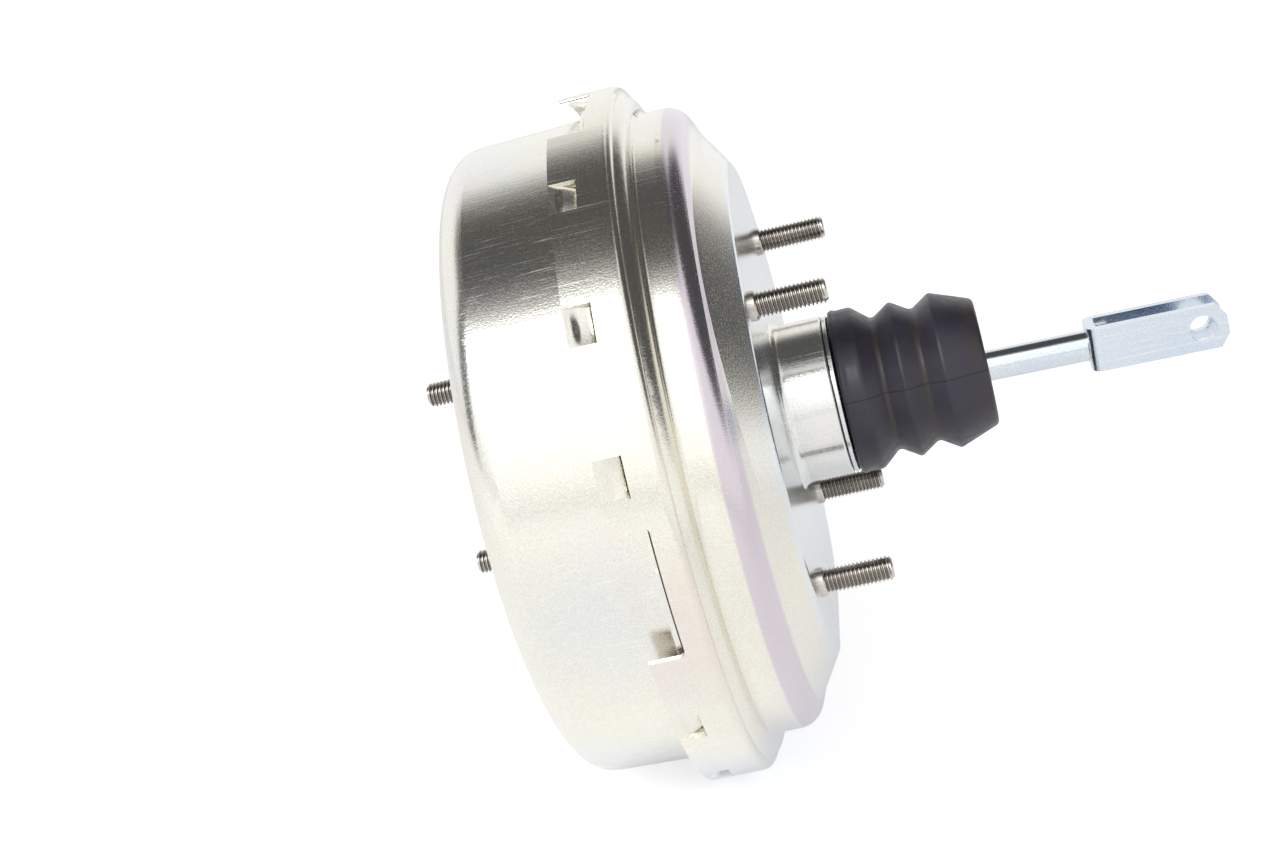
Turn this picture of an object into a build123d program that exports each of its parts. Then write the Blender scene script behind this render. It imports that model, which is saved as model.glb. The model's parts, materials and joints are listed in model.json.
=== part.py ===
from build123d import *
import os
from math import atan, cos, pi, radians, sin, sqrt, tan

os.makedirs("parts", exist_ok=True)

# Vacuum brake booster with one diaphragm.
# X runs along its axis toward the pedal, and X = 0 is the rear mounting face. Z is up.
# Clock angles are in degrees about the axis, from -Y (0) up to +Z (90).

# Casing sheet and rim
SHEET = 1.6
RIM_R = 112.5
RIM_CORNER = 2.7
TAB_FRONT = -47.7
RIM_REAR = -31.0
SHOULDER_DROP = 3.0
STEP_MID_X = -25.8
STEP_MID_DROP = 5.7
STEP_FOOT_X = -24.9
STEP_ROUND = 2.0
WAIST_DROP = 10.5

# Rear corner, conical ring and mounting boss
WAIST_REAR = -17.5
CORNER_MID_X = -13.4
CORNER_MID_DROP = 0.9
CORNER_DROP = 4.4
CONE_OUTER_X = -10.1
CONE_SLOPE = 0.42
BOSS_INSET = 17.6
BOSS_DEPTH = 9.5
BOSS_FOOT_SPREAD = 13.0
BOSS_FOOT_ROUND = 5.7
BOSS_EDGE = 3.0
BOSS_LEAN = 0.45
LAND_INSET = 4.8
LAND_SLOPE = 1.37

# Cut-outs and crimping lances of the rim
CUTOUT_COUNT = 4
CUTOUT_FIRST = -6.5
CUTOUT_SPAN = 21.8
CUTOUT_DEPTH = 11.1
CUTOUT_CORNER = 2.0
LANCES_PER_TAB = 3
LANCE_FIRST = 18.5
LANCE_PITCH = 22.5
LANCE_SPAN = 6.2
LANCE_DEPTH = 3.3

# Hub tube for the piston's neck
HUB_R = 25.9
HUB_LENGTH = 16.8
HUB_ROOT = 3.0
HUB_EDGE = 1.0

# Front shell
FRONT_FACE = -86.5
FLANGE_WIDTH = 4.6
FRONT_TAPER = 1.5
FRONT_CORNER = 10.0
PAD_RISE = 4.0
PAD_R = 50.0
PAD_ROUND = 2.4
FLANGE_FRONT = -39.0
FLANGE_GAP = 1.5
FLANGE_BEND = 1.2
NOTCH_OFFSET = 4.3
NOTCH_SPAN = 2.4
NOTCH_DEPTH = 2.0
PILOT_R = 20.0

# Mounting studs and their plates
STUD_R = 4.0
STUD_SHOULDER_R = 4.6
STUD_SHOULDER = 3.5
STUD_STANDOUT = 23.0
STUD_CHAMFER = 1.0
STUD_HEAD_R = 7.0
STUD_HEAD = 3.0
STUD_PLATE = 3.0
REAR_STUD_IN_Y = 37.5
REAR_STUD_IN_Z = 34.5
FRONT_STUD_Z = 60.0
FRONT_STUD_STANDOUT = 22.5
STUD_PLATE_MARGIN = 14.0
STUD_PLATE_CORNER = 16.0
REAR_PLATE_BORE_R = 33.0
FRONT_PLATE_R = 38.5

# Power piston
NECK_R = 18.5
NECK_END = 62.0
NECK_WALL = 2.3
NECK_CHAMFER = 1.0
PISTON_FRONT = -47.0
PISTON_NOSE_R = 17.0
PISTON_FLANGE_R = 30.0
PISTON_FLANGE = 3.0
PLATE_SHEET = 1.2
PLATE_REAR = -10.8
PLATE_HUB_R = 22.0
PLATE_CONE_WIDTH = 5.6
PLATE_SKIRT_GAP = 5.7
PLATE_CONE = 4.6
PLATE_SKIRT = 11.0
PLATE_BEND = 3.0
PORT_COUNT = 4
PORT_R = 1.5

# Diaphragm
RUBBER = 1.5
BEAD_GROOVE_R = 20.5
INNER_BEAD = 3.3
INNER_BEAD_R = 25.0
GROOVE_SHOULDER = 1.2
GROOVE_SHOULDER_R = 22.4
DIAPHRAGM_FLAT_OVER = 1.0
DIAPHRAGM_BEND_X = -15.5
DIAPHRAGM_WALL_GAP = 2.1
DIAPHRAGM_STEP_X = -25.5
DIAPHRAGM_BEND = 3.0
OUTER_BEAD_REAR = -31.3
OUTER_BEAD = 5.9

# Valve in the piston
PIVOT_X = -25.0
VALVE_TRAVEL = 2.0
POPPET_LIFT = 1.0
PLUNGER_FRONT = -32.5
PLUNGER_NOSE = 3.5
PLUNGER_NOSE_R = 6.0
PLUNGER_R = 9.5
PLUNGER_SEAT_X = 6.0
PLUNGER_SEAT_R = 11.8
PLUNGER_FLANGE = 2.2
SEAT_RIM = 0.8
PLUNGER_BORE_R = 6.2
SOCKET_MOUTH_R = 5.0
SOCKET_LIP = 4.5
VACUUM_SEAT_WALL = 1.2
VACUUM_SEAT_RISE = 1.5
KEY_SHEET = 2.5
KEY_REAR = -1.8
KEY_GROOVE_R = 8.0
KEY_WIDTH = 22.0
KEY_TAIL = 12.0
POPPET_DISC = 2.5
POPPET_BORE_R = 8.2
POPPET_SKIRT_R = 13.0
POPPET_BEAD = 3.0
POPPET_LENGTH = 13.0
RETAINER_SHEET = 2.5
RETAINER_BORE_R = 8.8
DISC_LENGTH = 5.0
DISC_R = 12.0
OUTPUT_HEAD = 4.0
OUTPUT_R = 5.0
OUTPUT_TIP = -84.9

# Filter and silencer in the neck
FILTER_REAR = 57.0
FILTER_LENGTH = 11.0
SILENCER_LENGTH = 4.0
FILTER_BORE_R = 10.6

# Input rod and clevis
DROOP = 1.1
BALL_R = 5.5
ROD_WAIST_R = 3.2
ROD_WAIST = 8.0
ROD_SHANK_R = 4.0
ROD_R = 5.0
COLLAR_START = 65.0
COLLAR = 2.5
COLLAR_R = 11.0
ROD_TO_WEB = 122.0
TAIL_R = 3.0
RIVET_R = 3.9
RIVET_LENGTH = 6.5
CLEVIS_SHEET = 3.2
CLEVIS_WIDTH = 16.0
CLEVIS_HEIGHT = 14.0
CLEVIS_LENGTH = 43.2
CLEVIS_BEND = 4.0
PIN_HOLE_R = 4.25
PIN_EAR = 7.8
EAR_CLIP = 3.0
EAR_CLIP_HEIGHT = 4.1

# Boot
BOOT_WALL = 1.8
BOOT_FRONT = 19.2
BOOT_MOUTH_R = 26.3
BOOT_COLLAR_END = 26.3
BOOT_COLLAR_R = 26.6
BOOT_VALLEY_R = 21.3
BOOT_FIRST_VALLEY = 32.5
BOOT_HALF_PITCH = 6.4
BOOT_RIDGE_R = 25.4
BOOT_END = 65.0
BOOT_END_R = 20.4
BOOT_ROUND = 1.7
BOOT_RING_R = 25.5
BOOT_RING = 1.6

# Seal and guide of the neck
SEAL_LENGTH = 7.5
SEAL_FRONT = 4.0
SEAL_LIP = 1.4
GUIDE_LENGTH = 4.6

# Springs
RETURN_COIL_R = 41.0
RETURN_WIRE = 3.4
RETURN_TURNS = 5.5
VALVE_COIL_R = 9.4
VALVE_WIRE = 1.4
VALVE_TURNS = 5
POPPET_COIL_R = 11.2
POPPET_WIRE = 1.0
POPPET_TURNS = 3
CHECK_COIL_R = 5.5
CHECK_WIRE = 0.6
CHECK_TURNS = 3

# Check valve on the front shell
CHECK_INSET = 5.4
CHECK_R = 12.0
CHECK_WALL = 2.5
CHECK_STEM_R = 7.4
CHECK_STEM_END = -80.5
CHECK_PASSAGE_R = 4.0
CHECK_FLOOR = 2.2
CHECK_CAP = 2.5
CHECK_LIFT = 1.5
CHECK_DISC = 2.0
CHECK_DISC_R = 8.0
ELBOW_R = 6.0
ELBOW_RISE = 12.5
NIPPLE_R = 5.0
NIPPLE_BORE_R = 3.0
NIPPLE_LENGTH = 36.0
NIPPLE_CHAMFER = 1.0
HOSE_STOP = 8.0
GROMMET_R = 14.0
GROMMET_NECK_R = 11.0
GROMMET_LIP = 2.6

# Clearances
FIT = 0.1
RUNNING = 0.2
SOFT_GAP = 0.3
LOFT_MARGIN = 0.01

# Worked-out places
rim_bore_r = RIM_R - SHEET
shoulder_r = RIM_R - SHOULDER_DROP
step_mid_r = RIM_R - STEP_MID_DROP
waist_r = RIM_R - WAIST_DROP
corner_mid_r = waist_r - CORNER_MID_DROP
corner_end_r = waist_r - CORNER_DROP
boss_r = corner_end_r - BOSS_INSET
boss_foot_half = boss_r + BOSS_FOOT_SPREAD
boss_foot_corner = boss_r + BOSS_FOOT_ROUND
land_z = boss_r - LAND_INSET
flange_r = rim_bore_r - FLANGE_GAP
front_rim_r = flange_r - FLANGE_WIDTH
diaphragm_wall_r = waist_r - SHEET - DIAPHRAGM_WALL_GAP
plate_skirt_r = diaphragm_wall_r - PLATE_SKIRT_GAP
plate_flat_r = plate_skirt_r - PLATE_CONE_WIDTH
diaphragm_flat_r = plate_flat_r + DIAPHRAGM_FLAT_OVER
outer_bead_inner_r = rim_bore_r - OUTER_BEAD
check_y = (PAD_R + front_rim_r) / 2 - CHECK_INSET
rear_stud_y = 2 * (boss_r - REAR_STUD_IN_Y)
rear_stud_z = 2 * (boss_r - REAR_STUD_IN_Z)
cutout_floor = TAB_FRONT + CUTOUT_DEPTH
cutout_pitch = 360 / CUTOUT_COUNT
flange_rear = FLANGE_FRONT + SHEET
lance_rear = FLANGE_FRONT - SOFT_GAP
rim_turn_r = RIM_R - RIM_CORNER
shoulder_x = RIM_REAR + RIM_CORNER
hub_bore_r = HUB_R - SHEET
pad_face = FRONT_FACE - PAD_RISE
pad_inside = pad_face + SHEET
front_inside = FRONT_FACE + SHEET
plate_front = PLATE_REAR - PLATE_SHEET
neck_bore_r = NECK_R - NECK_WALL
plunger_bore_front = PLUNGER_FRONT - VALVE_TRAVEL - FIT
plunger_nose_x = PLUNGER_FRONT - PLUNGER_NOSE
disc_rear = plunger_nose_x - VALVE_TRAVEL - FIT
disc_front = disc_rear - DISC_LENGTH
plunger_flange_x = PLUNGER_SEAT_X - PLUNGER_FLANGE
recess_floor = plunger_flange_x - VALVE_TRAVEL - RUNNING
recess_r = PLUNGER_SEAT_R + 2 * SOFT_GAP
poppet_front = PLUNGER_SEAT_X + FIT
vacuum_seat_x = poppet_front - POPPET_LIFT - FIT
chamber_floor = vacuum_seat_x - VACUUM_SEAT_RISE
poppet_rear = poppet_front + POPPET_LENGTH
key_front = KEY_REAR - KEY_SHEET
key_reach = sqrt((REAR_PLATE_BORE_R - SOFT_GAP) ** 2 - (KEY_WIDTH / 2) ** 2)
retainer_rear = poppet_rear + RETAINER_SHEET
web_inside = ROD_TO_WEB + CLEVIS_SHEET
clevis_end = ROD_TO_WEB + CLEVIS_LENGTH
pin_hole_s = ROD_TO_WEB + CLEVIS_LENGTH - PIN_EAR
stud_hole_r = STUD_SHOULDER_R + FIT

rod_direction = Vector(cos(radians(DROOP)), 0, -sin(radians(DROOP)))
rod_axis = Axis((PIVOT_X, 0, 0), rod_direction)
rod_side = Plane(origin=(PIVOT_X, 0, 0), x_dir=rod_direction, z_dir=(0, -1, 0))
rod_top = Plane(origin=(PIVOT_X, 0, 0), x_dir=rod_direction, z_dir=rod_side.y_dir)
check_axis = Axis((0, check_y, 0), (1, 0, 0))
check_plane = Plane(origin=(0, check_y, 0), x_dir=(1, 0, 0), z_dir=(0, 0, 1))


def radial_plane(angle):
    """Plane through the axis at a clock angle: x along the booster, y outward."""
    turn = radians(angle)
    return Plane(origin=(0, 0, 0), x_dir=(1, 0, 0), z_dir=(0, -sin(turn), -cos(turn)))


def cross_plane(x):
    """Plane across the axis at x, facing rearward."""
    return Plane.YZ.offset(x)


def nearest(corners, x, r):
    """The corner of a profile that lies nearest to a place."""
    return corners.sort_by_distance((x, r, 0))[0]


def finish(piece, name):
    """Label a finished piece and write its file."""
    piece.label = name
    export_step(piece, f"parts/{name}.step")


def coil_spring(coil_r, wire, start, end, turns, y=0):
    """Open coil spring between two faces across the axis."""
    rise = end - start - wire
    with BuildPart() as spring:
        with BuildLine() as path:
            Helix(
                pitch=rise / turns,
                height=rise,
                radius=coil_r,
                center=(start + wire / 2, y, 0),
                direction=(1, 0, 0),
            )
        with BuildSketch(Plane(origin=path.line @ 0, z_dir=path.line % 0)):
            Circle(wire / 2)
        sweep(is_frenet=True)
    return spring.part


# Rear casing form: the rim, the stepped waist, a conical ring and the raised mounting boss
def rear_form(inset):
    """Outside of the rear shell pulled inward by inset, as one solid body."""
    lean = BOSS_LEAN * inset
    foot = -BOSS_DEPTH - inset
    slant = inset * sin(pi / 4)
    cone_angle = atan(CONE_SLOPE)
    corner_end = (CONE_OUTER_X - inset * cos(cone_angle), corner_end_r - inset * sin(cone_angle))
    cone_inner_x = corner_end[0] + CONE_SLOPE * (corner_end[1] - boss_r)
    step_foot = (STEP_FOOT_X - inset, waist_r + STEP_ROUND)
    waist_front = (STEP_FOOT_X + STEP_ROUND, waist_r - inset)
    with BuildPart() as form:
        with BuildSketch(cross_plane(-inset)):
            half = boss_r - lean
            RectangleRounded(2 * half, 2 * half, half - LOFT_MARGIN)
        with BuildSketch(cross_plane(foot)):
            half = boss_foot_half - lean
            RectangleRounded(2 * half, 2 * half, boss_foot_corner - lean)
        loft()
        with BuildSketch(Plane.XZ.offset(-boss_foot_half)):
            with BuildLine():
                Polyline(
                    (SHEET - inset, LAND_SLOPE * SHEET - land_z + lean),
                    (2 * foot, LAND_SLOPE * (2 * foot + inset) - land_z + lean),
                    (SHEET - inset, LAND_SLOPE * (2 * foot + inset) - land_z + lean),
                    close=True,
                )
            make_face()
        extrude(amount=2 * boss_foot_half, mode=Mode.SUBTRACT)
        with BuildSketch():
            with BuildLine():
                Polyline(
                    (cone_inner_x, boss_r),
                    (cone_inner_x, 0),
                    (TAB_FRONT - 2 * SHEET, 0),
                    (TAB_FRONT - 2 * SHEET, RIM_R - inset),
                    (RIM_REAR, RIM_R - inset),
                )
                RadiusArc((RIM_REAR, RIM_R - inset), (shoulder_x - inset, rim_turn_r), RIM_CORNER - inset)
                Line((shoulder_x - inset, rim_turn_r), (shoulder_x - inset, shoulder_r))
                ThreePointArc(
                    (shoulder_x - inset, shoulder_r),
                    (STEP_MID_X - slant, step_mid_r - slant),
                    step_foot,
                )
                RadiusArc(step_foot, waist_front, -(STEP_ROUND + inset))
                Line(waist_front, (WAIST_REAR, waist_r - inset))
                ThreePointArc(
                    (WAIST_REAR, waist_r - inset),
                    (CORNER_MID_X - slant, corner_mid_r - slant),
                    corner_end,
                )
                Line(corner_end, (cone_inner_x, boss_r))
            make_face()
        revolve(axis=Axis.X)
        face_edges = form.faces().filter_by(Axis.X).sort_by(Axis.X)[-1].outer_wire().edges()
        fillet(face_edges, BOSS_EDGE - inset)
        with BuildSketch(cross_plane(-inset)):
            Circle(HUB_R - inset)
        extrude(amount=HUB_LENGTH + 2 * inset)
        hub_root = form.edges().filter_by(GeomType.CIRCLE)
        hub_root = hub_root.filter_by(lambda edge: abs(edge.radius - HUB_R + inset) < FIT)
        fillet(hub_root.sort_by(Axis.X)[0], HUB_ROOT + inset)
    return form.part


# Rear shell: pressed steel, with lances in its rim tabs that grip the front shell's flange
cutout_angles = [CUTOUT_FIRST + k * cutout_pitch for k in range(CUTOUT_COUNT)]
lance_angles = [
    start + LANCE_FIRST + k * LANCE_PITCH for start in cutout_angles for k in range(LANCES_PER_TAB)
]

with BuildPart() as rear_shell:
    add(rear_form(0))
    add(rear_form(SHEET), mode=Mode.SUBTRACT)
    with BuildSketch(cross_plane(TAB_FRONT)):
        Circle(RIM_R + SHEET)
    extrude(amount=-3 * SHEET, mode=Mode.SUBTRACT)
    with BuildSketch(cross_plane(RIM_REAR)):
        Circle(rim_bore_r)
    extrude(amount=TAB_FRONT - RIM_REAR, mode=Mode.SUBTRACT)
    with BuildSketch(cross_plane(-BOSS_DEPTH)):
        Circle(hub_bore_r)
    extrude(amount=TAB_FRONT, both=True, mode=Mode.SUBTRACT)
    for angle in lance_angles:
        with BuildSketch(radial_plane(angle + LANCE_SPAN / 2)):
            with BuildLine():
                Polyline(
                    (TAB_FRONT, rim_bore_r),
                    (lance_rear, rim_bore_r),
                    (lance_rear, rim_bore_r - LANCE_DEPTH),
                    close=True,
                )
            make_face()
    revolve(axis=Axis.X, revolution_arc=LANCE_SPAN)
    for angle in lance_angles:
        with BuildSketch(radial_plane(angle + LANCE_SPAN / 2)):
            with BuildLine():
                Polyline(
                    (TAB_FRONT, RIM_R),
                    (TAB_FRONT, RIM_R + SHEET),
                    (lance_rear, RIM_R + SHEET),
                    (lance_rear, RIM_R - LANCE_DEPTH),
                    close=True,
                )
            make_face()
    revolve(axis=Axis.X, revolution_arc=LANCE_SPAN, mode=Mode.SUBTRACT)
    for angle in cutout_angles:
        with BuildSketch(radial_plane(angle + CUTOUT_SPAN / 2)):
            with Locations((cutout_floor, rim_bore_r - SHEET)):
                Rectangle(CUTOUT_DEPTH + SHEET, 4 * SHEET, align=(Align.MAX, Align.MIN))
    revolve(axis=Axis.X, revolution_arc=CUTOUT_SPAN, mode=Mode.SUBTRACT)
    floor_corners = rear_shell.edges().filter_by(
        lambda edge: abs(edge.center().X - cutout_floor) < FIT and edge.length < 2 * SHEET
    )
    fillet(floor_corners, CUTOUT_CORNER)
    with BuildSketch(cross_plane(SHEET)):
        with GridLocations(rear_stud_y, rear_stud_z, 2, 2):
            Circle(stud_hole_r)
    extrude(amount=-3 * SHEET, mode=Mode.SUBTRACT)
    tube_end = rear_shell.edges().filter_by(GeomType.CIRCLE).group_by(Axis.X)[-1]
    fillet(tube_end.sort_by(SortBy.RADIUS)[-1], HUB_EDGE)
finish(rear_shell.part, "rear_shell")


# Front shell: pressed steel drum with a raised pad for the master cylinder
def front_form(inset):
    """Outside of the front shell pulled inward by inset, as one solid body."""
    bend = inset * tan(pi / 8)
    with BuildPart() as form:
        with BuildSketch() as section:
            with BuildLine():
                Polyline(
                    (flange_rear + inset, 0),
                    (flange_rear + inset, front_rim_r - inset),
                    (FRONT_FACE + inset, front_rim_r - FRONT_TAPER - inset),
                    (FRONT_FACE + inset, PAD_R + PAD_RISE - bend),
                    (pad_face + inset, PAD_R - bend),
                    (pad_face + inset, 0),
                    close=True,
                )
            make_face()
            fillet(nearest(section.vertices(), FRONT_FACE, front_rim_r), FRONT_CORNER - inset)
            fillet(nearest(section.vertices(), FRONT_FACE, PAD_R + PAD_RISE), PAD_ROUND + inset)
            fillet(nearest(section.vertices(), pad_face, PAD_R), PAD_ROUND - inset)
        revolve(axis=Axis.X)
    return form.part


with BuildPart() as front_shell:
    add(front_form(0))
    with BuildSketch():
        with Locations((FLANGE_FRONT, 0)):
            Rectangle(SHEET, flange_r, align=(Align.MIN, Align.MIN))
    revolve(axis=Axis.X)
    flange_root = front_shell.edges().filter_by(GeomType.CIRCLE)
    flange_root = flange_root.filter_by(lambda edge: abs(edge.radius - front_rim_r) < 2 * FIT)
    fillet(flange_root.sort_by(Axis.X)[-1], FLANGE_BEND)
    add(front_form(SHEET), mode=Mode.SUBTRACT)
    with BuildSketch(cross_plane(flange_rear)):
        Circle(front_rim_r - SHEET)
    extrude(amount=-2 * SHEET, mode=Mode.SUBTRACT)
    with BuildSketch(cross_plane(front_inside + SHEET)):
        Circle(PILOT_R)
        with GridLocations(0, FRONT_STUD_Z, 1, 2):
            Circle(stud_hole_r)
        with Locations((check_y, 0)):
            Circle(GROMMET_NECK_R)
    extrude(amount=-PAD_RISE - 3 * SHEET, mode=Mode.SUBTRACT)
    for angle in cutout_angles:
        with BuildSketch(radial_plane(angle + NOTCH_OFFSET + NOTCH_SPAN / 2)):
            with Locations((FLANGE_FRONT - SHEET, flange_r - NOTCH_DEPTH)):
                Rectangle(3 * SHEET, 2 * NOTCH_DEPTH, align=(Align.MIN, Align.MIN))
    revolve(axis=Axis.X, revolution_arc=NOTCH_SPAN, mode=Mode.SUBTRACT)
finish(front_shell.part, "front_shell")


# Stud plates: thick steel rings inside the shells that spread the studs' load
with BuildPart() as rear_stud_plate:
    with BuildSketch(cross_plane(-SHEET)):
        RectangleRounded(
            rear_stud_y + 2 * STUD_PLATE_MARGIN, rear_stud_z + 2 * STUD_PLATE_MARGIN, STUD_PLATE_CORNER
        )
        Circle(REAR_PLATE_BORE_R, mode=Mode.SUBTRACT)
        with GridLocations(rear_stud_y, rear_stud_z, 2, 2):
            Circle(stud_hole_r, mode=Mode.SUBTRACT)
    extrude(amount=-STUD_PLATE)
finish(rear_stud_plate.part, "rear_stud_plate")

with BuildPart() as front_stud_plate:
    with BuildSketch(cross_plane(pad_inside)):
        Circle(FRONT_PLATE_R)
        Circle(PILOT_R, mode=Mode.SUBTRACT)
        with GridLocations(0, FRONT_STUD_Z, 1, 2):
            Circle(stud_hole_r, mode=Mode.SUBTRACT)
    extrude(amount=STUD_PLATE)
finish(front_stud_plate.part, "front_stud_plate")


# Studs: headed inside the casing, with a short plain shoulder outside
def stud(seat, face, tip):
    """One stud along X, with its head's underside on seat and its shoulder standing from face."""
    way = 1 if tip > seat else -1
    shoulder = face + way * STUD_SHOULDER
    with BuildPart() as one:
        with BuildSketch():
            with BuildLine():
                Polyline(
                    (seat - way * STUD_HEAD, 0),
                    (seat - way * STUD_HEAD, STUD_HEAD_R),
                    (seat, STUD_HEAD_R),
                    (seat, STUD_SHOULDER_R),
                    (shoulder, STUD_SHOULDER_R),
                    (shoulder, STUD_R),
                    (tip - way * STUD_CHAMFER, STUD_R),
                    (tip, STUD_R - STUD_CHAMFER),
                    (tip, 0),
                    close=True,
                )
            make_face()
        revolve(axis=Axis.X)
    return one.part


with BuildPart() as rear_studs:
    rear_places = [(0, y * rear_stud_y / 2, z * rear_stud_z / 2) for y in (-1, 1) for z in (-1, 1)]
    with Locations(rear_places):
        add(stud(-SHEET - STUD_PLATE, 0, STUD_STANDOUT))
finish(rear_studs.part, "rear_studs")

with BuildPart() as front_studs:
    with Locations((0, 0, -FRONT_STUD_Z / 2), (0, 0, FRONT_STUD_Z / 2)):
        add(stud(pad_inside + STUD_PLATE, pad_face, pad_face - FRONT_STUD_STANDOUT))
finish(front_studs.part, "front_studs")


# Diaphragm: its thick rim is gripped between the shells, its inner bead sits on the piston
with BuildPart() as diaphragm:
    with BuildSketch() as section:
        with BuildLine():
            FilletPolyline(
                (PLATE_REAR + RUBBER / 2, INNER_BEAD_R - RUBBER),
                (PLATE_REAR + RUBBER / 2, diaphragm_flat_r),
                (DIAPHRAGM_BEND_X, diaphragm_wall_r),
                (DIAPHRAGM_STEP_X, diaphragm_wall_r + RUBBER / 4),
                (OUTER_BEAD_REAR, outer_bead_inner_r + RUBBER),
                radius=DIAPHRAGM_BEND,
            )
        trace(line_width=RUBBER)
        with Locations((PLATE_REAR, BEAD_GROOVE_R + FIT)):
            Rectangle(INNER_BEAD, INNER_BEAD_R - BEAD_GROOVE_R - FIT, align=(Align.MIN, Align.MIN))
        with Locations((flange_rear + FIT, outer_bead_inner_r)):
            bead_height = rim_bore_r - outer_bead_inner_r - FIT
            Rectangle(OUTER_BEAD_REAR - flange_rear, bead_height, align=(Align.MIN, Align.MIN))
    revolve(axis=Axis.X)
finish(diaphragm.part, "diaphragm")

with BuildPart() as diaphragm_plate:
    with BuildSketch() as section:
        with BuildLine():
            mid_x = PLATE_REAR - PLATE_SHEET / 2
            FilletPolyline(
                (mid_x, PLATE_HUB_R + FIT),
                (mid_x, plate_flat_r),
                (mid_x - PLATE_CONE, plate_skirt_r),
                (mid_x - PLATE_CONE - PLATE_SKIRT, plate_skirt_r),
                radius=PLATE_BEND,
            )
        trace(line_width=PLATE_SHEET)
    revolve(axis=Axis.X)
finish(diaphragm_plate.part, "diaphragm_plate")


# Valve body: the moulded power piston, with its neck reaching out through the hub
with BuildPart() as valve_body:
    groove_rear = PLATE_REAR + INNER_BEAD + FIT
    with BuildSketch():
        with BuildLine():
            Polyline(
                (PISTON_FRONT, 0),
                (PISTON_FRONT, PISTON_NOSE_R),
                (plate_front - PISTON_FLANGE, PISTON_NOSE_R),
                (plate_front - PISTON_FLANGE, PISTON_FLANGE_R),
                (plate_front, PISTON_FLANGE_R),
                (plate_front, PLATE_HUB_R),
                (PLATE_REAR, PLATE_HUB_R),
                (PLATE_REAR, BEAD_GROOVE_R),
                (groove_rear, BEAD_GROOVE_R),
                (groove_rear, GROOVE_SHOULDER_R),
                (groove_rear + GROOVE_SHOULDER, GROOVE_SHOULDER_R),
                (groove_rear + 2 * GROOVE_SHOULDER, NECK_R),
                (NECK_END - NECK_CHAMFER, NECK_R),
                (NECK_END, NECK_R - NECK_CHAMFER),
                (NECK_END, 0),
                close=True,
            )
        make_face()
    revolve(axis=Axis.X)
    with BuildSketch():
        with BuildLine():
            Polyline(
                (PISTON_FRONT, 0),
                (PISTON_FRONT, DISC_R + RUNNING),
                (disc_rear, DISC_R + RUNNING),
                (disc_rear, PLUNGER_NOSE_R + RUNNING),
                (plunger_bore_front, PLUNGER_NOSE_R + RUNNING),
                (plunger_bore_front, PLUNGER_R + RUNNING),
                (recess_floor, PLUNGER_R + RUNNING),
                (recess_floor, recess_r),
                (vacuum_seat_x, recess_r),
                (vacuum_seat_x, recess_r + VACUUM_SEAT_WALL),
                (chamber_floor, recess_r + VACUUM_SEAT_WALL),
                (chamber_floor, neck_bore_r),
                (NECK_END, neck_bore_r),
                (NECK_END, 0),
                close=True,
            )
        make_face()
    revolve(axis=Axis.X, mode=Mode.SUBTRACT)
    with BuildSketch(Plane.XY.offset(-KEY_TAIL - SOFT_GAP)):
        with Locations(((key_front - VALVE_TRAVEL + KEY_REAR) / 2, 0)):
            slot_length = KEY_SHEET + VALVE_TRAVEL + 2 * SOFT_GAP
            Rectangle(slot_length, KEY_WIDTH + 2 * SOFT_GAP)
    extrude(amount=KEY_TAIL + key_reach, mode=Mode.SUBTRACT)
    with BuildSketch(cross_plane(chamber_floor)):
        port_ring = (recess_r + VACUUM_SEAT_WALL + neck_bore_r) / 2
        with PolarLocations(port_ring, PORT_COUNT, start_angle=45):
            Circle(PORT_R)
    extrude(amount=PISTON_FRONT - chamber_floor, mode=Mode.SUBTRACT)
finish(valve_body.part, "valve_body")


# Valve plunger: holds the input rod's ball, and its rear rim is the air valve's seat
with BuildPart() as valve_plunger:
    with BuildSketch():
        with BuildLine():
            Polyline(
                (plunger_nose_x, 0),
                (plunger_nose_x, PLUNGER_NOSE_R),
                (PLUNGER_FRONT, PLUNGER_NOSE_R),
                (PLUNGER_FRONT, PLUNGER_R),
                (key_front - RUNNING, PLUNGER_R),
                (key_front - RUNNING, KEY_GROOVE_R),
                (KEY_REAR + RUNNING, KEY_GROOVE_R),
                (KEY_REAR + RUNNING, PLUNGER_R),
                (plunger_flange_x, PLUNGER_R),
                (plunger_flange_x, PLUNGER_SEAT_R),
                (PLUNGER_SEAT_X - SEAT_RIM, PLUNGER_SEAT_R),
                (PLUNGER_SEAT_X, PLUNGER_SEAT_R - SEAT_RIM),
                (PLUNGER_SEAT_X, PLUNGER_SEAT_R - 2 * SEAT_RIM),
                (PLUNGER_SEAT_X - SEAT_RIM, PLUNGER_R),
                (PLUNGER_SEAT_X - SEAT_RIM, PLUNGER_BORE_R),
                (PIVOT_X + SOCKET_LIP, PLUNGER_BORE_R),
                (PIVOT_X + SOCKET_LIP, SOCKET_MOUTH_R),
                (PIVOT_X, SOCKET_MOUTH_R),
                (PIVOT_X, 0),
                close=True,
            )
        make_face()
    revolve(axis=Axis.X)
    with Locations((PIVOT_X, 0, 0)):
        Sphere(BALL_R + FIT, mode=Mode.SUBTRACT)
finish(valve_plunger.part, "valve_plunger")

# Stop key: a steel fork across the plunger that rests on the rear shell when released
with BuildPart() as stop_key:
    with BuildSketch(cross_plane(key_front)):
        with Locations((0, (key_reach - KEY_TAIL) / 2)):
            Rectangle(KEY_WIDTH, key_reach + KEY_TAIL)
        Circle(KEY_GROOVE_R + RUNNING, mode=Mode.SUBTRACT)
        with Locations((0, -KEY_TAIL)):
            fork_gap = 2 * (KEY_GROOVE_R + RUNNING)
            Rectangle(fork_gap, 2 * KEY_TAIL, mode=Mode.SUBTRACT)
    extrude(amount=KEY_SHEET)
finish(stop_key.part, "stop_key")

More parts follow.
